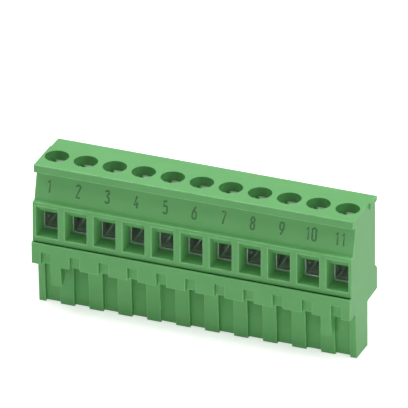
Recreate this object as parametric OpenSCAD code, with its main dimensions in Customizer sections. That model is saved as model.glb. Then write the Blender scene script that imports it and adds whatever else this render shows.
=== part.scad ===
// Pluggable terminal block: a row of rising-cage clamps in one moulded housing.
// Wires enter at the front, the clamp screws are turned from the top, and the
// plug section at the bottom pushes onto the pins of a header.
// X runs along the row, the wires come from -Y, and Z is up from the plug's end.

/* [Row] */
// Number of poles
poles = 11; // [2:1:16]
// Distance from one pole to the next
pitch = 5.08; // [5:0.01:5.6]
// How much narrower the housing is than its poles side by side
width_play = 0.08; // [0:0.02:0.3]

/* [Clamp cage] */
// Width of the clamp cage across the row
cage_w = 4; // [3.7:0.05:4.1]
// Depth of the clamp cage along the wire
cage_d = 4.4; // [4.1:0.1:5]
// Thickness of the cage's floor and sides
cage_wall = 0.7; // [0.5:0.05:0.75]
// Outer bend radius of the cage
cage_bend = 0.5; // [0.2:0.05:0.6]
// Height of the threaded block at the top of the cage
block_h = 2; // [1.5:0.1:2.6]
// Clear height for the wire under the current bar with the clamp open
wire_gap = 3.05; // [2.7:0.05:3.4]
// How far the cage rises to clamp the wire
cage_travel = 2.8; // [2:0.1:2.8]
// Gap between the open cage's threaded block and the current bar
block_gap = 0.2; // [0.1:0.05:0.4]
// Clearance of the cage in its chamber, on each side
cage_play = 0.05; // [0.03:0.01:0.1]
// Depth of the grip grooves in the cage's floor
grip_depth = 0.15; // [0.05:0.05:0.25]
// Distance from one grip groove to the next
grip_step = 0.8; // [0.6:0.1:1]

/* [Clamp screw] */
// Outer diameter of the screw's thread
screw_d = 3; // [2.6:0.1:3.1]
// Radial clearance of the screw's thread in the cage
screw_play = 0.05; // [0.02:0.01:0.09]
// Diameter of the screw's head
head_d = 3.8; // [3.5:0.05:3.9]
// Radial clearance of the head in its access hole
head_play = 0.1; // [0.05:0.01:0.15]
// Height of the screw's head
head_h = 1.55; // [1.3:0.05:2.2]
// Depth of the screw's head below the housing's top face
head_below = 1.5; // [0.6:0.1:2]
// Bevel on the head's upper edge
head_bevel = 0.2; // [0.1:0.05:0.3]
// Width of the driver slot
slot_w = 0.65; // [0.5:0.05:1]
// Depth of the driver slot
slot_depth = 0.9; // [0.6:0.05:1.1]
// Direction of the driver slots, from the row
slot_turn = 134; // [0:1:180]
// Bevel on the screw's tip
tip_bevel = 0.35; // [0.2:0.05:0.5]
// Gap between the screw's tip and the current bar
tip_gap = 0.05; // [0.02:0.01:0.1]

/* [Contact] */
// Width of the contact strip
strip_w = 2.4; // [2:0.1:2.5]
// Thickness of the current bar
bar_t = 0.8; // [0.6:0.05:0.9]
// How far the current bar's tip reaches into the front wall
bar_seat = 0.4; // [0.2:0.05:0.6]
// Distance from the cage's chamber to the leg that stops the wire
wire_stop = 1.95; // [1.5:0.05:2.4]
// Thickness of each fork arm
arm_t = 0.5; // [0.4:0.05:0.55]
// Distance from the pin's middle to the middle of a straight fork arm
arm_out = 1.05; // [0.95:0.05:1.1]
// Gap between the fork arms where they grip the pin
grip_gap = 0.8; // [0.6:0.05:0.9]
// Height of the grip point above the plug's end
grip_z = 4.2; // [3.4:0.1:5]
// Height of the fork's tips above the plug's end
fork_tip_z = 1.9; // [1.2:0.1:2.6]
// Length of the straight upper part of the fork arms
arm_straight = 3.3; // [2.5:0.1:4]

/* [Wire side] */
// Height of the bar under the funnels
sill_h = 0.99; // [0.7:0.01:1.2]
// Width of a funnel's mouth
mouth_w = 3.84; // [3.4:0.02:4]
// Height of a funnel's mouth
mouth_h = 5.54; // [5.3:0.02:5.8]
// Height of the beam over the funnels
lintel_h = 0.72; // [0.5:0.02:1]
// Depth of the tapering part of a funnel
funnel_depth = 1.85; // [1.4:0.05:2.2]
// Depth of the straight throat behind a funnel
throat_depth = 0.65; // [0.5:0.05:0.9]
// Width of the throat
throat_w = 2.98; // [2.6:0.02:3.2]
// Height of the throat's floor above the funnel's mouth
throat_rise = 0.46; // [0.2:0.02:0.6]

/* [Screw side] */
// Height of the lip along the top front edge
lip_h = 1.42; // [1:0.02:1.8]
// How far the lip is set back from the funnel frame
lip_set_back = 0.64; // [0.3:0.02:0.9]
// How far the lip stands out over the number face
lip_overhang = 1.33; // [1:0.01:1.4]
// Drop of the lip's sloping underside
lip_slope = 0.3; // [0:0.05:0.5]
// Depth of the ledge under the number face
ledge = 0.8; // [0.4:0.05:1]
// Thickness of the rear wall behind the contacts
rear_wall = 1.05; // [0.8:0.05:1.6]

/* [Collar] */
// Height of the collar around the foot of the housing
collar_h = 3.85; // [3.6:0.05:4.4]
// How far the collar stands out at the front
collar_front = 0.65; // [0.5:0.05:0.9]
// How far the collar stands out at the rear
collar_rear = 0.95; // [0.5:0.05:1.2]
// Bevel on the collar's upper edge at the rear
collar_bevel = 1; // [0.2:0.05:1.1]
// Slope of the collar's underside at the rear
collar_slope = 0.25; // [0:0.05:0.4]
// Bevel on the collar's upper edge at the front
collar_edge = 0.12; // [0.05:0.01:0.2]
// Thickness of the collar's lip in front of the groove
groove_lip = 0.3; // [0.25:0.01:0.4]
// Depth of the groove, measured down
groove_h = 0.5; // [0.3:0.05:0.7]
// Width of the groove, measured from front to back
groove_d = 0.85; // [0.6:0.05:1]
// Thickness of the wall that closes each end of the groove
groove_end = 0.25; // [0.2:0.05:0.6]
// Width of the notch under each pole
notch_w = 1.7; // [1.2:0.05:2]
// Height of the notch
notch_h = 2.25; // [1.8:0.05:2.5]
// Depth of the notch
notch_depth = 0.7; // [0.4:0.05:1]

/* [Latch tongues] */
// Width of a latch tongue
tongue_w = 1.8; // [1.4:0.05:2]
// Length of a latch tongue below the collar
tongue_drop = 3.7; // [3:0.1:4.6]
// Thickness of a latch tongue at its tip
tongue_tip = 0.6; // [0.4:0.05:0.9]
// How far a latch tongue's front leans back at its tip
tongue_lean = 0.45; // [0.1:0.05:0.7]
// Radius of a latch tongue's lower corners
tongue_round = 0.4; // [0.1:0.05:0.6]

/* [Plug section] */
// Height of the plug section under the collar
plug_h = 8.4; // [8:0.1:9.4]
// How far the plug's front leans back at its end
plug_draft = 0.5; // [0.1:0.05:0.6]
// Distance from the screws' line back to the pins' line
pin_back = 0.5; // [0.3:0.05:0.7]
// Width of a pin socket
socket_w = 2.7; // [2.6:0.05:3]
// Depth of a pin socket from front to back
socket_d = 2.9; // [2.85:0.05:3]
// Thickness of the wall behind the pin sockets
plug_rear_wall = 0.69; // [0.5:0.01:0.9]
// Thickness of the wall in front of the pin sockets
plug_front_wall = 0.62; // [0.5:0.01:0.8]
// Width of the recess in front of each pole
recess_w = 2.54; // [2:0.02:3]
// Depth of the recess
recess_depth = 0.68; // [0.4:0.02:0.8]
// Bevel around a pin socket's mouth
socket_bevel = 0.3; // [0.1:0.05:0.4]

/* [End interlock] */
// How far the right end's upper tab stands out
tab_out = 0.3; // [0.1:0.02:0.36]
// Height of the tab, without its bevel
tab_h = 0.8; // [0.6:0.05:1]
// Height of the bevel under the tab
tab_bevel = 0.55; // [0.4:0.05:0.7]
// Length of the tab from the rear face
tab_len = 3; // [2:0.1:3.4]
// Clearance of a neighbour's tab in the left end's pocket
tab_play = 0.05; // [0.02:0.01:0.1]

/* [Hidden] */
// Fineness of the round surfaces
$fn = 48;
// Overrun of a cut past the surface that it opens
over = 0.5;

poles_list = [1 : poles];
width = poles * pitch - width_play;
row_end = width / 2;

// Heights, from the plug's end up
collar_z = plug_h;
frame_z = collar_z + collar_h;
mouth_z = frame_z + sill_h;
ledge_z = mouth_z + mouth_h + lintel_h;
throat_z = mouth_z + throat_rise;
cage_z = throat_z - cage_wall + 0.25;
window_z = cage_z + cage_wall;
floor_z = cage_z - cage_play;
bar_z = window_z + wire_gap;
block_z = bar_z + bar_t + block_gap;
cage_h = block_z + block_h - cage_z;
head_z = block_z + block_h + cage_travel + 2 * cage_play;
top_z = head_z + head_h + head_below;
tip_z = bar_z + bar_t + tip_gap;
// The tapped bore runs down the cage's sides as far as the screw's tip comes
bore_z = tip_z - cage_travel - 2 * cage_play;
// The strip that carries the fork runs under the chamber's floor
under_floor = 0.5;
foot_z = floor_z - under_floor - bar_t;

// Depths, from the screws' line at Y = 0
chamber_y = cage_d / 2 + cage_play;
throat_y = -chamber_y - throat_depth;
frame_y = throat_y - funnel_depth;
lip_y = frame_y + lip_set_back;
sign_top_y = lip_y + lip_overhang;
sign_low_y = frame_y + ledge;
leg_y = chamber_y + wire_stop;
rear_y = leg_y + bar_t + rear_wall;
collar_front_y = frame_y - collar_front;
collar_rear_y = rear_y + collar_rear;
socket_front_y = pin_back - socket_d / 2;
plug_rear_y = pin_back + socket_d / 2 + plug_rear_wall;
recess_y = socket_front_y - plug_front_wall;
rib_y = recess_y - recess_depth;
groove_y = collar_front_y + groove_lip;

// Round parts
screw_r = screw_d / 2;
thread_r = screw_r + screw_play;
head_r = head_d / 2;
access_r = head_r + head_play;

// The part stands with the middle of its box over the origin
middle_y = (collar_front_y + collar_rear_y) / 2;

// Middle of pole i along the row
function pole_x(i) = (i - (poles + 1) / 2) * pitch;

// Stands the children on the part's own origin
module placed() {
    translate([0, -middle_y, 0]) children();
}

// A bar along the row whose end view, looking along X, is the child outline in Y and Z
module along_row(length) {
    rotate([90, 0, 90]) translate([0, 0, -length / 2]) linear_extrude(length) children();
}

// A bar along the wires whose front view is the child outline in X and Z
module along_wire(y0, y1) {
    translate([0, y1, 0]) rotate([90, 0, 0]) linear_extrude(y1 - y0) children();
}

// A box given by its middle X, its width and its limits in Y and Z
module slab(w, y0, y1, z0, z1) {
    translate([-w / 2, y0, z0]) cube([w, y1 - y0, z1 - z0]);
}

// A rectangle centred on X, with round corners
module round_plate(w, z0, z1, r) {
    translate([-w / 2, z0 + r]) square([w, z1 - z0 - 2 * r]);
    translate([-w / 2 + r, z0]) square([w - 2 * r, z1 - z0]);
    for (x = [-w / 2 + r, w / 2 - r])
        for (z = [z0 + r, z1 - r])
            translate([x, z]) circle(r);
}

// A strip of sheet metal bent along a path in Y and Z
module bent_strip(path, t) {
    for (k = [0 : len(path) - 2]) {
        run = path[k + 1] - path[k];
        translate(path[k]) rotate(atan2(run[1], run[0])) translate([0, -t / 2]) square([norm(run), t]);
    }
    for (k = [1 : len(path) - 2])
        translate(path[k]) circle(t / 2);
}

// ---- Housing -------------------------------------------------------------

// End view of the moulding: plug, collar, funnel frame, number face and lip
module housing_outline() {
    polygon([
        [rib_y, 0],
        [rib_y - plug_draft, collar_z],
        [collar_front_y, collar_z],
        [collar_front_y, frame_z - collar_edge],
        [collar_front_y + collar_edge, frame_z],
        [frame_y, frame_z],
        [frame_y, ledge_z],
        [sign_low_y, ledge_z],
        [sign_top_y, top_z - lip_h - lip_slope],
        [lip_y, top_z - lip_h],
        [lip_y, top_z],
        [rear_y, top_z],
        [rear_y, frame_z + collar_bevel],
        [collar_rear_y, frame_z + collar_bevel - collar_rear],
        [collar_rear_y, collar_z],
        [plug_rear_y, collar_z - collar_slope],
        [plug_rear_y, 0]
    ]);
}

// The groove between the collar's lip and the funnel frame
module groove() {
    along_row(width - 2 * groove_end) polygon([
        [groove_y, frame_z - groove_h],
        [groove_y + groove_d, frame_z - groove_h],
        [groove_y + groove_d, frame_z],
        [frame_y, frame_z],
        [frame_y, frame_z + over],
        [groove_y, frame_z + over]
    ]);
}

// The tapering wire funnel is where its side view and its top view cross
module funnel() {
    grow = over / funnel_depth;
    top_drop = mouth_z + mouth_h - bar_z;
    side_step = (mouth_w - throat_w) / 2;
    intersection() {
        along_row(pitch) polygon([
            [frame_y - over, mouth_z - throat_rise * grow],
            [throat_y, throat_z],
            [throat_y, bar_z],
            [frame_y - over, mouth_z + mouth_h + top_drop * grow]
        ]);
        translate([0, 0, frame_z]) linear_extrude(ledge_z - frame_z) polygon([
            [-mouth_w / 2 - side_step * grow, frame_y - over],
            [mouth_w / 2 + side_step * grow, frame_y - over],
            [throat_w / 2, throat_y],
            [-throat_w / 2, throat_y]
        ]);
    }
    slab(throat_w, throat_y - 0.01, -chamber_y + 0.01, throat_z, bar_z);
}

// The bevelled mouth of a pin socket, where its two side views cross
module socket_mouth() {
    low = -over;
    intersection() {
        along_row(pitch) polygon([
            [socket_front_y - socket_bevel + low, low],
            [socket_front_y + socket_d + socket_bevel - low, low],
            [socket_front_y + socket_d, socket_bevel],
            [socket_front_y, socket_bevel]
        ]);
        along_wire(rib_y - over, plug_rear_y + over) polygon([
            [-socket_w / 2 - socket_bevel + low, low],
            [socket_w / 2 + socket_bevel - low, low],
            [socket_w / 2, socket_bevel],
            [-socket_w / 2, socket_bevel]
        ]);
    }
}

// The way of the contact from its seat in the front wall, over the wire pocket,
// down behind the wire and forward to the fork
module contact_way() {
    along_row(strip_w) polygon([
        [-chamber_y - bar_seat, bar_z],
        [-chamber_y, bar_z],
        [-chamber_y, window_z],
        [leg_y, window_z],
        [leg_y, foot_z + bar_t],
        [socket_front_y, foot_z + bar_t],
        [socket_front_y, foot_z],
        [leg_y + bar_t, foot_z],
        [leg_y + bar_t, bar_z + bar_t],
        [-chamber_y - bar_seat, bar_z + bar_t]
    ]);
}

// Everything that is hollow at one pole
module pole_hollow() {
    translate([0, 0, head_z]) cylinder(r = access_r, h = top_z - head_z + over);
    slab(cage_w + 2 * cage_play, -chamber_y, chamber_y, floor_z, head_z);
    funnel();
    contact_way();
    slab(socket_w, socket_front_y, socket_front_y + socket_d, -over, foot_z + bar_t);
    socket_mouth();
}

// The notch in the collar and the recess in the plug's front at one pole
module pole_front_cuts() {
    slab(notch_w, collar_front_y - over, collar_front_y + notch_depth, collar_z - over, collar_z + notch_h);
    along_row(recess_w) polygon([
        [recess_y, 0],
        [recess_y, -over],
        [rib_y - over, -over],
        [rib_y - over - plug_draft, collar_z],
        [recess_y - plug_draft, collar_z]
    ]);
}

// A latch tongue under the collar: thick at its root, thin at its tip
module latch_tongue(x) {
    tip = collar_z - tongue_drop;
    translate([x, 0, 0]) intersection() {
        along_row(tongue_w) polygon([
            [collar_front_y, collar_z + over],
            [collar_front_y, collar_z],
            [collar_front_y + tongue_lean, tip],
            [collar_front_y + tongue_lean + tongue_tip, tip],
            [rib_y - plug_draft, collar_z],
            [rib_y - plug_draft, collar_z + over]
        ]);
        along_wire(collar_front_y - over, rib_y + over)
            round_plate(tongue_w, tip, collar_z + 2 * over, tongue_round);
    }
}

// The tab on the right end, or with more all round the pocket for it on the left
module end_tab(more) {
    along_wire(rear_y - tab_len - more, rear_y + (more > 0 ? over : 0)) polygon([
        [0, top_z + (more > 0 ? over : 0)],
        [0, top_z - tab_h - tab_bevel - more],
        [tab_out, top_z - tab_h - more],
        [tab_out, top_z + (more > 0 ? over : 0)]
    ]);
}

module housing() {
    first = pole_x(1) + notch_w / 2 + tongue_w / 2;
    placed() color("mediumseagreen") difference() {
        union() {
            difference() {
                along_row(width) housing_outline();
                for (i = poles_list) translate([pole_x(i), 0, 0]) pole_front_cuts();
            }
            latch_tongue(first);
            latch_tongue(-first);
            translate([row_end, 0, 0]) end_tab(0);
        }
        groove();
        translate([-row_end - tab_play, 0, 0]) end_tab(tab_play);
        for (i = poles_list) translate([pole_x(i), 0, 0]) pole_hollow();
    }
}

// ---- Clamp cage ----------------------------------------------------------

// A steel strip bent into a box, with a thick threaded block at the top
module clamp_cage(i) {
    window_w = cage_w - 2 * cage_wall;
    grooves = floor((cage_d - 2 * cage_wall) / grip_step);
    placed() color("lightsteelblue") translate([pole_x(i), 0, 0]) difference() {
        along_wire(-cage_d / 2, cage_d / 2) round_plate(cage_w, cage_z, cage_z + cage_h, cage_bend);
        along_wire(-cage_d / 2 - over, cage_d / 2 + over)
            round_plate(window_w, window_z, block_z, cage_bend / 2);
        translate([0, 0, bore_z]) cylinder(r = thread_r, h = block_z + block_h - bore_z + over);
        for (k = [0 : grooves])
            translate([0, (k - grooves / 2) * grip_step, window_z])
                along_row(window_w - cage_bend)
                    polygon([[-grip_depth, 0], [0, -grip_depth], [grip_depth, 0], [0, over]]);
    }
}

// ---- Clamp screw ---------------------------------------------------------

// A slotted screw: head in the access hole, thread through the cage, tip on the bar
module clamp_screw(i) {
    head_top = head_z + head_h;
    placed() color("silver") translate([pole_x(i), 0, 0]) difference() {
        rotate_extrude() polygon([
            [0, tip_z],
            [screw_r - tip_bevel, tip_z],
            [screw_r, tip_z + tip_bevel],
            [screw_r, head_z],
            [head_r, head_z],
            [head_r, head_top - head_bevel],
            [head_r - head_bevel, head_top],
            [0, head_top]
        ]);
        translate([0, 0, head_top - slot_depth]) rotate(slot_turn)
            translate([-head_r - over, -slot_w / 2, 0]) cube([head_d + 2 * over, slot_w, slot_depth + over]);
    }
}

// ---- Contact -------------------------------------------------------------

// Current bar through the cage, leg behind the wire, and a two-armed fork for the pin
module contact(i) {
    foot = foot_z + bar_t / 2;
    placed() color("gainsboro") translate([pole_x(i), 0, 0]) along_row(strip_w) {
        translate([-chamber_y - bar_seat, bar_z]) square([leg_y + bar_t + chamber_y + bar_seat, bar_t]);
        translate([leg_y, foot_z]) square([bar_t, bar_z + bar_t - foot_z]);
        translate([pin_back - arm_out, foot_z]) square([leg_y + bar_t - pin_back + arm_out, bar_t]);
        for (side = [-1, 1])
            bent_strip([
                [pin_back + side * arm_out, foot],
                [pin_back + side * arm_out, foot - arm_straight],
                [pin_back + side * (grip_gap + arm_t) / 2, grip_z],
                [pin_back + side * arm_out, fork_tip_z]
            ], arm_t);
    }
}

housing();
for (i = poles_list) {
    clamp_cage(i);
    clamp_screw(i);
    contact(i);
}
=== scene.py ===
import math

import bmesh
import bpy
from mathutils import Matrix, Vector
from mathutils.bvhtree import BVHTree


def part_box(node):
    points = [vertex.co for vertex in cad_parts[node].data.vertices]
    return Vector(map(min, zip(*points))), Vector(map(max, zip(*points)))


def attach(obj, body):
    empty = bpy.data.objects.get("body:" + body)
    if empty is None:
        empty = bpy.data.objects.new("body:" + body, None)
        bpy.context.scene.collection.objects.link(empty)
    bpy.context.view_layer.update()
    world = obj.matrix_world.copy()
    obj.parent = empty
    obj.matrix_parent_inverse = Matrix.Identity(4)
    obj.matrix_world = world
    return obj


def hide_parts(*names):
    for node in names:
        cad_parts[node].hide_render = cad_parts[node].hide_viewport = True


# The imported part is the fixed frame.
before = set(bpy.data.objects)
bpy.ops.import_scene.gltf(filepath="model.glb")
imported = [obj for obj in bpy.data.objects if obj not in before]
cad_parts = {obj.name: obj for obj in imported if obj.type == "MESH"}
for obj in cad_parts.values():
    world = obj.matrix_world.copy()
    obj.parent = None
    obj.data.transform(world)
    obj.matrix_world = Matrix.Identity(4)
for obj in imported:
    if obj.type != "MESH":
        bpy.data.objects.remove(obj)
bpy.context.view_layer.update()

# ---- Contacts ------------------------------------------------------------
# One contact to a pole: a strip of tin-plated copper alloy, punched and bent.
# It is pushed into the moulding, where its bar carries the wire clamp and its
# fork grips the header's pin. Punching leaves its edges slightly rolled over.

poles = 11
punched_edge = 0.00005
narrowest_strip = 0.0002
same_point = 2e-7
flat_within = math.radians(0.6)
corner_from = math.radians(28)
crease_from = math.radians(33)
shortest_in_eases = 1.5
tin_bright = (0.78, 0.77, 0.74, 1)
tin_dull = (0.62, 0.61, 0.57, 1)
# Lightening of eased metal edges: partly wear, partly a painted highlight.
metal_rub_and_highlight = 0.9
line_share = 0.35
line_height = 0.00002
least_rubbed_and_highlit = 0.35
noise_core = (0.35, 0.65)
noise_wide = (0.3, 0.7)
noise_whole = (0.15, 0.85)


def place(tree, kind, feeds=None, **settings):
    """Puts a node in a tree. feeds maps an input's name or number to a value or to a socket."""
    node = tree.nodes.new(kind)
    for name, value in settings.items():
        setattr(node, name, value)
    for name, value in (feeds or {}).items():
        if isinstance(value, bpy.types.NodeSocket):
            tree.links.new(value, node.inputs[name])
        else:
            node.inputs[name].default_value = value
    return node


def sums(tree, operation, *terms):
    """A Math node's result, from sockets or plain numbers."""
    return place(tree, "ShaderNodeMath", dict(enumerate(terms)), operation=operation).outputs[0]


def spread(tree, value, low, high, to_low=0.0, to_high=1.0):
    """Stretches a value's range from low..high to to_low..to_high, and clips it there."""
    feeds = {0: value, 1: low, 2: high, 3: to_low, 4: to_high}
    return place(tree, "ShaderNodeMapRange", feeds).outputs[0]


def blended(tree, share, first, second):
    """A colour mixed from two others. A share of 0 is the first, and 1 is the second."""
    feeds = {0: share, 6: first, 7: second}
    return place(tree, "ShaderNodeMix", feeds, data_type="RGBA").outputs[2]


def new_group(name, inputs, outputs):
    """An empty node group with its sockets: (name, kind, value when nothing is linked)."""
    tree = bpy.data.node_groups.new(name, "ShaderNodeTree")
    for label, kind, value in inputs:
        socket = tree.interface.new_socket(label, in_out="INPUT", socket_type="NodeSocket" + kind)
        socket.default_value = value
    for label, kind in outputs:
        tree.interface.new_socket(label, in_out="OUTPUT", socket_type="NodeSocket" + kind)
    return tree, tree.nodes.new("NodeGroupInput").outputs, tree.nodes.new("NodeGroupOutput").inputs


def rolled_metal():
    """Rolled and plated metal: fine lines along the strip, and brighter and duller patches."""
    tree, given, made = new_group(
        "Rolled and plated metal",
        [
            ("Bright", "Color", (0.8, 0.8, 0.8, 1)),
            ("Dull", "Color", (0.5, 0.5, 0.5, 1)),
            ("Line Stretch", "Vector", (1, 1, 1)),
            ("Line Scale", "Float", 9000),
            ("Patch Scale", "Float", 900),
            ("Smoothest", "Float", 0.2),
            ("Roughest", "Float", 0.4),
            ("Line Depth", "Float", 0.3),
        ],
        [("Colour", "Color"), ("Roughness", "Float"), ("Normal", "Vector")],
    )
    where = place(tree, "ShaderNodeTexCoord").outputs["Object"]
    drawn = place(
        tree,
        "ShaderNodeVectorMath",
        {0: where, 1: given["Line Stretch"]},
        operation="MULTIPLY",
    ).outputs[0]
    lines = place(
        tree,
        "ShaderNodeTexNoise",
        {"Vector": drawn, "Scale": given["Line Scale"], "Detail": 4.0, "Roughness": 0.65},
    ).outputs["Fac"]
    patches = place(
        tree,
        "ShaderNodeTexNoise",
        {"Vector": where, "Scale": given["Patch Scale"], "Detail": 3.0, "Roughness": 0.55},
    ).outputs["Fac"]
    patchy = spread(tree, patches, *noise_core)
    rest = sums(tree, "MULTIPLY", patchy, 1 - line_share)
    both = sums(tree, "MULTIPLY_ADD", lines, line_share, rest)
    colour = blended(tree, both, given["Dull"], given["Bright"])
    rough = spread(tree, both, *noise_whole, given["Roughest"], given["Smoothest"])
    raised = place(
        tree,
        "ShaderNodeBump",
        {"Strength": given["Line Depth"], "Distance": line_height, "Height": lines},
    ).outputs[0]
    for name, value in (("Colour", colour), ("Roughness", rough), ("Normal", raised)):
        tree.links.new(value, made[name])
    return tree


def rubbed_edges():
    """Where handling wears an eased edge, and along it a painted highlight: the edge mask, broken
    up by noise.
    """
    tree, given, made = new_group(
        "Rubbed edges and painted highlight",
        [("Edge", "Float", 0.0), ("Breakup Scale", "Float", 1200), ("Amount", "Float", 1.0)],
        [("Mask", "Float")],
    )
    where = place(tree, "ShaderNodeTexCoord").outputs["Object"]
    noise = place(
        tree,
        "ShaderNodeTexNoise",
        {"Vector": where, "Scale": given["Breakup Scale"], "Detail": 3.0},
    ).outputs["Fac"]
    broken = spread(tree, noise, *noise_wide, least_rubbed_and_highlit, 1.0)
    worn_and_highlit = sums(tree, "MULTIPLY", given["Edge"], broken)
    tree.links.new(sums(tree, "MULTIPLY", worn_and_highlit, given["Amount"]), made["Mask"])
    return tree


def new_material(name, **sockets):
    """A material with one Principled shader, whose constant sockets are set by name."""
    material = bpy.data.materials.new(name)
    material.use_nodes = True
    shader = material.node_tree.nodes["Principled BSDF"]
    for label, value in sockets.items():
        shader.inputs[label.replace("_", " ")].default_value = value
    return material, material.node_tree, shader


def metal_material(name, bright, dull, stretch, lines, patches, smoothest, roughest, depth):
    """A plated metal finish, brighter along its eased edges: wear, and a painted highlight."""
    material, tree, shader = new_material(name, Metallic=1.0)
    finish = place(
        tree,
        "ShaderNodeGroup",
        node_tree=bpy.data.node_groups["Rolled and plated metal"],
    )
    rub_and_highlight = place(tree, "ShaderNodeGroup", node_tree=bpy.data.node_groups["Rubbed edges and painted highlight"])
    values = (bright, dull, stretch, lines, patches, smoothest, roughest, depth)
    for socket, value in zip(finish.inputs, values):
        socket.default_value = value
    edge = place(tree, "ShaderNodeAttribute", attribute_name="eased").outputs["Fac"]
    tree.links.new(edge, rub_and_highlight.inputs["Edge"])
    rub_and_highlight.inputs["Amount"].default_value = metal_rub_and_highlight
    # Eased edges blend towards the bright colour: wear, and a painted highlight.
    colour = blended(tree, rub_and_highlight.outputs["Mask"], finish.outputs["Colour"], bright)
    tree.links.new(colour, shader.inputs["Base Color"])
    tree.links.new(finish.outputs["Roughness"], shader.inputs["Roughness"])
    tree.links.new(finish.outputs["Normal"], shader.inputs["Normal"])
    return material


def eased_copy(node, name, ease, narrowest, keep=None):
    """A copy of a CAD node's surface, with its outer edges eased by a small round.

    Edges beside a face narrower than `narrowest` stay sharp. Only the points that
    `keep` accepts are copied, and the cut is closed. Faces made by the easing
    carry 1 in the corner attribute "eased", and all others 0.
    """
    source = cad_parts[node]
    mesh = bpy.data.meshes.new(name)
    shape = bmesh.new()
    shape.from_mesh(source.data)
    bmesh.ops.remove_doubles(shape, verts=shape.verts, dist=same_point)
    bmesh.ops.dissolve_limit(
        shape,
        angle_limit=flat_within,
        verts=shape.verts,
        edges=shape.edges,
        delimit=set(),
    )
    if keep:
        gone = [v for v in shape.verts if not keep(v.co)]
        bmesh.ops.delete(shape, geom=gone, context="VERTS")
        open_edges = [e for e in shape.edges if e.is_boundary]
        bmesh.ops.holes_fill(shape, edges=open_edges)
    longest = {f: max(e.calc_length() for e in f.edges) for f in shape.faces}
    sharp = [
        e
        for e in shape.edges
        if e.is_manifold
        and e.is_convex
        and e.calc_face_angle() > corner_from
        and e.calc_length() > shortest_in_eases * ease
        and all(f.calc_area() / longest[f] > narrowest for f in e.link_faces)
    ]
    made = bmesh.ops.bevel(
        shape,
        geom=sharp,
        offset=ease,
        offset_type="OFFSET",
        segments=2,
        profile=0.5,
        affect="EDGES",
        clamp_overlap=False,
        miter_outer="ARC",
        loop_slide=True,
    )
    eased_faces = set(made["faces"])
    mark = shape.loops.layers.float.new("eased")
    for face in shape.faces:
        face.smooth = True
        for corner in face.loops:
            corner[mark] = 1.0 if face in eased_faces else 0.0
    shape.to_mesh(mesh)
    shape.free()
    mesh.set_sharp_from_angle(angle=crease_from)
    piece = bpy.data.objects.new(name, mesh)
    bpy.context.scene.collection.objects.link(piece)
    weighted = piece.modifiers.new("Flat faces stay flat", "WEIGHTED_NORMAL")
    weighted.keep_sharp = True
    return piece


rolled_metal()
rubbed_edges()
tin_plating = metal_material(
    "Tin plating",
    tin_bright,
    tin_dull,
    stretch=(1, 1, 0.12),
    lines=14000,
    patches=600,
    smoothest=0.28,
    roughest=0.42,
    depth=0.1,
)
for i in range(1, poles + 1):
    contact = eased_copy(f"contact_{i}", f"contact_strip_{i}", punched_edge, narrowest_strip)
    contact.data.materials.append(tin_plating)
    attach(contact, "housing")
    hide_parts(f"contact_{i}")

# ---- Clamp cages ---------------------------------------------------------
# One rising cage to a pole: zinc-plated steel strip folded into a box, with a
# thick threaded block at the top. It slides up in its chamber as the screw is
# turned, and squeezes the wire against the contact's bar.

strip_edge = 0.00014
# The green tint in both zinc colours is a painted reflection of the green moulding, and the dark
# dull tone is painted shade of the chambers.
zinc_bright_painted_green = (0.72, 0.82, 0.74, 1)
zinc_dull_painted_shade = (0.36, 0.48, 0.39, 1)

zinc_strip = metal_material(
    "Zinc-plated strip",
    zinc_bright_painted_green,
    zinc_dull_painted_shade,
    stretch=(0.1, 1, 1),
    lines=9000,
    patches=300,
    smoothest=0.3,
    roughest=0.4,
    depth=0.12,
)
for i in range(1, poles + 1):
    cage = eased_copy(f"clamp_cage_{i}", f"rising_cage_{i}", strip_edge, narrowest_strip)
    cage.data.materials.append(zinc_strip)
    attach(cage, f"cage_{i}")
    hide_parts(f"clamp_cage_{i}")

# ---- Clamp screws --------------------------------------------------------
# One slotted screw to a pole: cold-headed zinc-plated steel, with a turned top
# and a rolled thread. It turns in the access hole and draws the cage up.

head_edge = 0.00006
narrowest_on_head = 0.00015
thread_pitch = 0.0005
thread_depth = 0.0003
thread_sides = 28
thread_crease = math.radians(50)
rings_per_turn = 6
crest_flat = 1.25
tip_cone = 0.00035
beyond_shank = 1e-4
just_under = 1e-6
# The green tint in the screw's greys is a painted reflection of the green moulding.
screw_bright_painted_green = (0.56, 0.64, 0.56, 1)
screw_dull_painted_green = (0.40, 0.47, 0.40, 1)

screw_steel = metal_material(
    "Zinc-plated screw",
    screw_bright_painted_green,
    screw_dull_painted_green,
    stretch=(1, 1, 0.3),
    lines=8000,
    patches=900,
    smoothest=0.42,
    roughest=0.6,
    depth=0.25,
)


def threaded_shank(name, middle, bottom, top, radius):
    """A rolled thread as one closed skin: rings whose radius rises and falls round the helix."""
    rings = math.ceil((top - bottom) / thread_pitch * rings_per_turn)
    points, faces = [], []
    for k in range(rings + 1):
        z = bottom + (top - bottom) * k / rings
        full = min(radius, radius - tip_cone + (z - bottom))
        for s in range(thread_sides):
            turn = s / thread_sides
            phase = (z / thread_pitch - turn) % 1.0
            ridge = 1 - abs(2 * phase - 1)
            r = min(full, radius - thread_depth + thread_depth * min(1, crest_flat * ridge))
            angle = 2 * math.pi * turn
            points.append((middle.x + r * math.cos(angle), middle.y + r * math.sin(angle), z))
    for k in range(rings):
        for s in range(thread_sides):
            a, b = k * thread_sides + s, k * thread_sides + (s + 1) % thread_sides
            faces.append((a, b, b + thread_sides, a + thread_sides))
    faces.append(tuple(reversed(range(thread_sides))))
    faces.append(tuple(range(rings * thread_sides, (rings + 1) * thread_sides)))
    mesh = bpy.data.meshes.new(name)
    mesh.from_pydata(points, [], faces)
    mesh.shade_smooth()
    mesh.set_sharp_from_angle(angle=thread_crease)
    piece = bpy.data.objects.new(name, mesh)
    bpy.context.scene.collection.objects.link(piece)
    return piece


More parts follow.
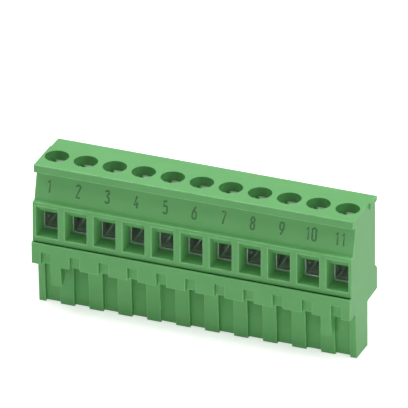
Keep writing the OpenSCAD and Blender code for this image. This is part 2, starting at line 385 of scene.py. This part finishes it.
for i in range(1, poles + 1):
    low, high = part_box(f"clamp_screw_{i}")
    middle = (low + high) / 2
    head_r = (high - low).x / 2
    corners = [v.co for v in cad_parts[f"clamp_screw_{i}"].data.vertices]
    below = [(c - middle).xy.length for c in corners if c.z < middle.z]
    shank_r = max(r for r in below if r < head_r - beyond_shank)
    head_foot = min(c.z for c in corners if (c - middle).xy.length > shank_r + beyond_shank)
    head = eased_copy(
        f"clamp_screw_{i}",
        f"screw_head_{i}",
        head_edge,
        narrowest_on_head,
        keep=lambda co, foot=head_foot: co.z > foot - just_under,
    )
    head.data.materials.append(screw_steel)
    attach(head, f"screw_{i}")
    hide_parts(f"clamp_screw_{i}")
    shank = threaded_shank(f"screw_thread_{i}", middle, low.z, head_foot, shank_r)
    shank.data.materials.append(screw_steel)
    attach(shank, f"screw_{i}")

# ---- Housing -------------------------------------------------------------
# The one insulating body: green polyamide, injection moulded with a fine
# spark-eroded texture. The screw holes are drawn off polished pins, so they are
# smoother, and their colour is darkened as painted shade in the bores. Outer edges
# come off the mould eased, and are lightened partly as wear, partly as a painted highlight.

mould_ease = 0.00014
narrowest_wall = 0.0003
green = (0.15, 0.455, 0.15, 1)
green_deep = (0.137, 0.43, 0.137, 1)
# A lighter green for eased edges: partly wear, partly a painted highlight.
green_rubbed_and_highlit = (0.28, 0.66, 0.28, 1)
# A darker green for the screw holes: painted shade in the bores.
green_painted_bore_shade = (0.095, 0.34, 0.095, 1)
bore_shade_reach = 0.005
bore_shade_foot = 0.0235
just_off = 1e-5
flow_scale = 160
grain_scale = 16000
pit_scale = 7000
mould_rough = (0.44, 0.56)
rub_gloss = -0.08
core_gloss = -0.2
# How far eased edges are lightened: partly wear, partly a painted highlight.
mould_rub_and_highlight = 0.75
mould_rub_scale = 500
pit_share = 0.6
texture_height = 0.00001
texture_strength = 0.25

polyamide, tree, shader = new_material(
    "Moulded green polyamide", IOR=1.5, Specular_IOR_Level=0.38
)
where = place(tree, "ShaderNodeTexCoord").outputs["Object"]
flow = place(
    tree,
    "ShaderNodeTexNoise",
    {"Vector": where, "Scale": flow_scale, "Detail": 3.0, "Distortion": 0.6},
).outputs["Fac"]
grain = place(
    tree,
    "ShaderNodeTexNoise",
    {"Vector": where, "Scale": grain_scale, "Detail": 2.0, "Roughness": 0.6},
).outputs["Fac"]
pits = place(
    tree, "ShaderNodeTexVoronoi", {"Vector": where, "Scale": pit_scale}
).outputs["Distance"]
tone = blended(tree, spread(tree, flow, *noise_core), green_deep, green)
painted_bore_shade = place(tree, "ShaderNodeAttribute", attribute_name="painted_bore_shade").outputs["Fac"]
# The screw holes' colour is darkened: painted shade in the bores.
moulded = blended(tree, painted_bore_shade, tone, green_painted_bore_shade)
rub_and_highlight = place(tree, "ShaderNodeGroup", node_tree=bpy.data.node_groups["Rubbed edges and painted highlight"])
rub_and_highlight.inputs["Breakup Scale"].default_value = mould_rub_scale
rub_and_highlight.inputs["Amount"].default_value = mould_rub_and_highlight
edge = place(tree, "ShaderNodeAttribute", attribute_name="eased").outputs["Fac"]
tree.links.new(edge, rub_and_highlight.inputs["Edge"])
# Eased edges blend towards the lighter green: wear, and a painted highlight.
colour = blended(tree, rub_and_highlight.outputs["Mask"], moulded, green_rubbed_and_highlit)
tree.links.new(colour, shader.inputs["Base Color"])
grainy = spread(tree, grain, *noise_wide, *mould_rough)
glossier = sums(tree, "MULTIPLY", painted_bore_shade, core_gloss)
glossier = sums(tree, "MULTIPLY_ADD", rub_and_highlight.outputs["Mask"], rub_gloss, glossier)
tree.links.new(sums(tree, "ADD", grainy, glossier), shader.inputs["Roughness"])
fine = sums(tree, "MULTIPLY", grain, 1 - pit_share)
texture = sums(tree, "MULTIPLY_ADD", pits, pit_share, fine)
raised = place(
    tree,
    "ShaderNodeBump",
    {"Strength": texture_strength, "Distance": texture_height, "Height": texture},
).outputs[0]
tree.links.new(raised, shader.inputs["Normal"])
moulding = eased_copy("housing", "moulding", mould_ease, narrowest_wall)

# The screw holes are the faces near the top from which a line straight out soon
# meets the moulding again. Their colour is darkened there as painted shade.
surface = bmesh.new()
surface.from_mesh(moulding.data)
mould_faces = BVHTree.FromBMesh(surface)
mark = surface.loops.layers.float.new("painted_bore_shade")
for face in surface.faces:
    start = face.calc_center_median() + face.normal * just_off
    across = mould_faces.ray_cast(start, face.normal, bore_shade_reach)[0]
    for corner in face.loops:
        corner[mark] = 0.0 if across is None or start.z < bore_shade_foot else 1.0
surface.to_mesh(moulding.data)
surface.free()
moulding.data.materials.append(polyamide)
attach(moulding, "housing")
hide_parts("housing")

# ---- Pole numbers --------------------------------------------------------
# The numbers 1 to 11 on the sloping face over the wire funnels, one to a pole.
# They are pad printed in dark green ink, which stands a hair above the face.

ink = (0.026, 0.125, 0.03, 1)
ink_worn = (0.06, 0.24, 0.065, 1)
ink_scale = 5000
ink_thin_spots = (0.45, 0.75)
ink_rough = (0.4, 0.6)
ink_thick = 0.000015
facing_front = -0.9
leaning_back = 0.1
number_foot = 0.0014
digit_high = 0.0024
digit_wide = 0.00098
digit_gap = 0.0011
stroke_wide = 0.00032

printing_ink, tree, shader = new_material("Printing ink")
where = place(tree, "ShaderNodeTexCoord").outputs["Object"]
cover = place(
    tree, "ShaderNodeTexNoise", {"Vector": where, "Scale": ink_scale, "Detail": 3.0}
).outputs["Fac"]
colour = blended(tree, spread(tree, cover, *ink_thin_spots), ink, ink_worn)
tree.links.new(colour, shader.inputs["Base Color"])
rough = spread(tree, cover, *noise_wide, *ink_rough)
tree.links.new(rough, shader.inputs["Roughness"])


def bow(cx, cy, start, end, half_wide=0.5, half_high=0.17, steps=10):
    """Points on an arc of a digit, in shares of its width and height. Angles in degrees."""
    turns = [math.radians(start + (end - start) * k / steps) for k in range(steps + 1)]
    return [(cx + half_wide * math.cos(t), cy + half_high * math.sin(t)) for t in turns]


digit_strokes = {
    "0": [bow(0.5, 0.83, 0, 180) + bow(0.5, 0.17, 180, 360) + [(1, 0.83)]],
    "1": [[(0.22, 0.80), (0.62, 1.0), (0.62, 0)]],
    "2": [bow(0.5, 0.83, 180, -20) + [(0, 0), (1, 0)]],
    "3": [
        bow(0.5, 0.83, 170, -90, 0.46, 0.17)
        + bow(0.5, 0.25, 90, 0, 0.5, 0.24)
        + bow(0.5, 0.17, 0, -170)
    ],
    "4": [[(0.62, 1), (0, 0.27), (1, 0.27)], [(0.74, 0.5), (0.74, 0)]],
    "5": [
        [(0.92, 1), (0.1, 1), (0.06, 0.56)]
        + bow(0.5, 0.43, 130, 0, 0.5, 0.2)
        + bow(0.5, 0.17, 0, -165)
    ],
    "6": [
        [(0.78, 1.0)]
        + bow(0.9, 0.3, 150, 180, 0.9, 0.5, 5)
        + bow(0.5, 0.17, 180, 360)
        + bow(0.5, 0.42, 0, 180, 0.5, 0.18)
    ],
    "7": [[(0, 1), (1, 1), (0.36, 0)]],
    "8": [bow(0.5, 0.77, -90, 270, 0.44, 0.23, 20) + bow(0.5, 0.27, 90, 450, 0.5, 0.27, 20)],
    "9": [
        [(0.22, 0.0)]
        + bow(0.1, 0.7, -30, 0, 0.9, 0.5, 5)
        + bow(0.5, 0.83, 0, 180)
        + bow(0.5, 0.58, 180, 360, 0.5, 0.18)
    ],
}


def printed_stroke(points, width, thick):
    """A mesh of one pen stroke: a flat ribbon of ink through the points, with capped ends."""
    least_step = width / 20
    clean = [points[0]]
    for p in points[1:]:
        if (Vector(p) - Vector(clean[-1])).length > least_step:
            clean.append(p)
    curve = bpy.data.curves.new("stroke", "CURVE")
    curve.dimensions = "3D"
    curve.bevel_depth = width / 2
    curve.bevel_resolution = 2
    curve.use_fill_caps = True
    line = curve.splines.new("POLY")
    line.points.add(len(clean) - 1)
    for point, (x, y) in zip(line.points, clean):
        point.co = (x, y, 0, 1)
    holder = bpy.data.objects.new("stroke", curve)
    bpy.context.scene.collection.objects.link(holder)
    graph = bpy.context.evaluated_depsgraph_get()
    flat = bpy.data.meshes.new_from_object(holder.evaluated_get(graph))
    bpy.data.objects.remove(holder)
    bpy.data.curves.remove(curve)
    flat.transform(Matrix.Diagonal((1, 1, 2 * thick / width, 1)))
    return flat


# The sloping face is the housing's only flat that faces forward and leans back.
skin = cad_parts["housing"].data
slope = [p for p in skin.polygons if p.normal.y < facing_front and p.normal.z > leaning_back]
slope_corners = [skin.vertices[n].co for p in slope for n in p.vertices]
face_foot = min(slope_corners, key=lambda c: c.z)
face_head = max(slope_corners, key=lambda c: c.z)
along_row = Vector((1, 0, 0))
face_up = Vector((0, *(face_head - face_foot).yz)).normalized()
face_out = along_row.cross(face_up)
on_face = Matrix((along_row, face_up, face_out)).transposed().to_4x4()
pen_wide = digit_wide - stroke_wide
pen_high = digit_high - stroke_wide
pen_foot = number_foot + stroke_wide / 2
for i in range(1, poles + 1):
    low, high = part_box(f"clamp_cage_{i}")
    digits = str(i)
    number = bmesh.new()
    run = digit_gap * (len(digits) - 1)
    for k, digit in enumerate(digits):
        left = -run / 2 + k * digit_gap - pen_wide / 2
        for stroke in digit_strokes[digit]:
            points = [(left + u * pen_wide, pen_foot + v * pen_high) for u, v in stroke]
            flat = printed_stroke(points, stroke_wide, ink_thick)
            number.from_mesh(flat)
            bpy.data.meshes.remove(flat)
    mesh = bpy.data.meshes.new(f"number_{i}")
    number.to_mesh(mesh)
    number.free()
    origin = Vector(((low.x + high.x) / 2, *face_foot.yz))
    mesh.transform(Matrix.Translation(origin) @ on_face)
    mesh.shade_smooth()
    mesh.materials.append(printing_ink)
    piece = bpy.data.objects.new(f"number_{i}", mesh)
    bpy.context.scene.collection.objects.link(piece)
    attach(piece, "housing")

# ---- Studio --------------------------------------------------------------
# A plain pale floor, a white surround, three large soft lamps overhead, and a
# small low one in front. The surround and the floor are white to the camera.

surround_strength = 0.08
floor_colour = (0.85, 0.85, 0.85, 1)
floor_half = 2.0
floor_glow = 0.62

surround = bpy.data.worlds.new("Surround")
bpy.context.scene.world = surround
surround.use_nodes = True
tree = surround.node_tree
tree.nodes.clear()
path = place(tree, "ShaderNodeLightPath").outputs
seen = sums(
    tree,
    "MAXIMUM",
    sums(tree, "MAXIMUM", path["Is Camera Ray"], path["Is Glossy Ray"]),
    path["Is Transmission Ray"],
)
strength = spread(tree, seen, 0, 1, surround_strength, 1.0)
light = place(tree, "ShaderNodeBackground", {"Color": (1, 1, 1, 1), "Strength": strength})
place(tree, "ShaderNodeOutputWorld", {"Surface": light.outputs[0]})

floor_mesh = bpy.data.meshes.new("floor")
floor_mesh.from_pydata(
    [(x * floor_half, y * floor_half, 0) for x, y in ((-1, -1), (1, -1), (1, 1), (-1, 1))],
    [],
    [(0, 1, 2, 3)],
)
floor = bpy.data.objects.new("floor", floor_mesh)
bpy.context.scene.collection.objects.link(floor)
paper, tree, shader = new_material(
    "White paper",
    Base_Color=floor_colour,
    Roughness=0.9,
    Specular_IOR_Level=0.0,
    Emission_Strength=floor_glow,
)
path = place(tree, "ShaderNodeLightPath").outputs
seen = sums(tree, "MAXIMUM", path["Is Camera Ray"], path["Is Glossy Ray"])
glow = place(tree, "ShaderNodeCombineColor", {0: seen, 1: seen, 2: seen}).outputs[0]
tree.links.new(glow, shader.inputs["Emission Color"])
floor_mesh.materials.append(paper)

# Each lamp's name, place, side of its square and power in watts.
for name, where, size, energy in (
    ("Over the rear", (0.2, 0.12, 0.75), 0.5, 2.1),
    ("Over the left", (-0.4, 0, 0.68), 0.5, 2.9),
    ("Over the right", (0.5, 0, 0.6), 0.5, 2.1),
    ("Low at the front", (0.1, -0.8, 0.13), 0.24, 1.15),
):
    lamp_data = bpy.data.lights.new(name, "AREA")
    lamp_data.shape = "RECTANGLE"
    lamp_data.size = size
    lamp_data.size_y = size
    lamp_data.energy = energy
    lamp = bpy.data.objects.new(name, lamp_data)
    lamp.location = where
    lamp.rotation_mode = "QUATERNION"
    lamp.rotation_quaternion = Vector(where).to_track_quat("Z", "Y")
    bpy.context.scene.collection.objects.link(lamp)

# ---- Camera --------------------------------------------------------------
# A long lens far off, a little above the part and to its right.

look_turn = math.radians(21.75)
look_down = math.radians(28.043)
look_roll = math.radians(-0.2624)
look_far = 2.30804
look_at = Vector((0, -0.0008, 0.0127))
look_past = (0.000294, 0.008211)
lens_length = 1250.7
sensor_width = 36
nearest_seen = 0.1
farthest_seen = 20

back = Vector(
    (
        math.sin(look_turn) * math.cos(look_down),
        -math.cos(look_turn) * math.cos(look_down),
        math.sin(look_down),
    )
)
side = Vector((math.cos(look_turn), math.sin(look_turn), 0))
over = back.cross(side)
across = side * math.cos(look_roll) + over * math.sin(look_roll)
upward = over * math.cos(look_roll) - side * math.sin(look_roll)
stand = look_at + back * look_far
back = (stand - look_at - across * look_past[0] - upward * look_past[1]).normalized()
across = (across - back * across.dot(back)).normalized()
upward = back.cross(across)
camera = bpy.data.objects.new("camera", bpy.data.cameras.new("camera"))
camera.data.lens = lens_length
camera.data.sensor_width = sensor_width
camera.data.clip_start = nearest_seen
camera.data.clip_end = farthest_seen
camera.matrix_world = Matrix.Translation(stand) @ Matrix(
    (across, upward, back)
).transposed().to_4x4()
bpy.context.scene.collection.objects.link(camera)
bpy.context.scene.camera = camera
bpy.context.scene.view_settings.view_transform = "Standard"
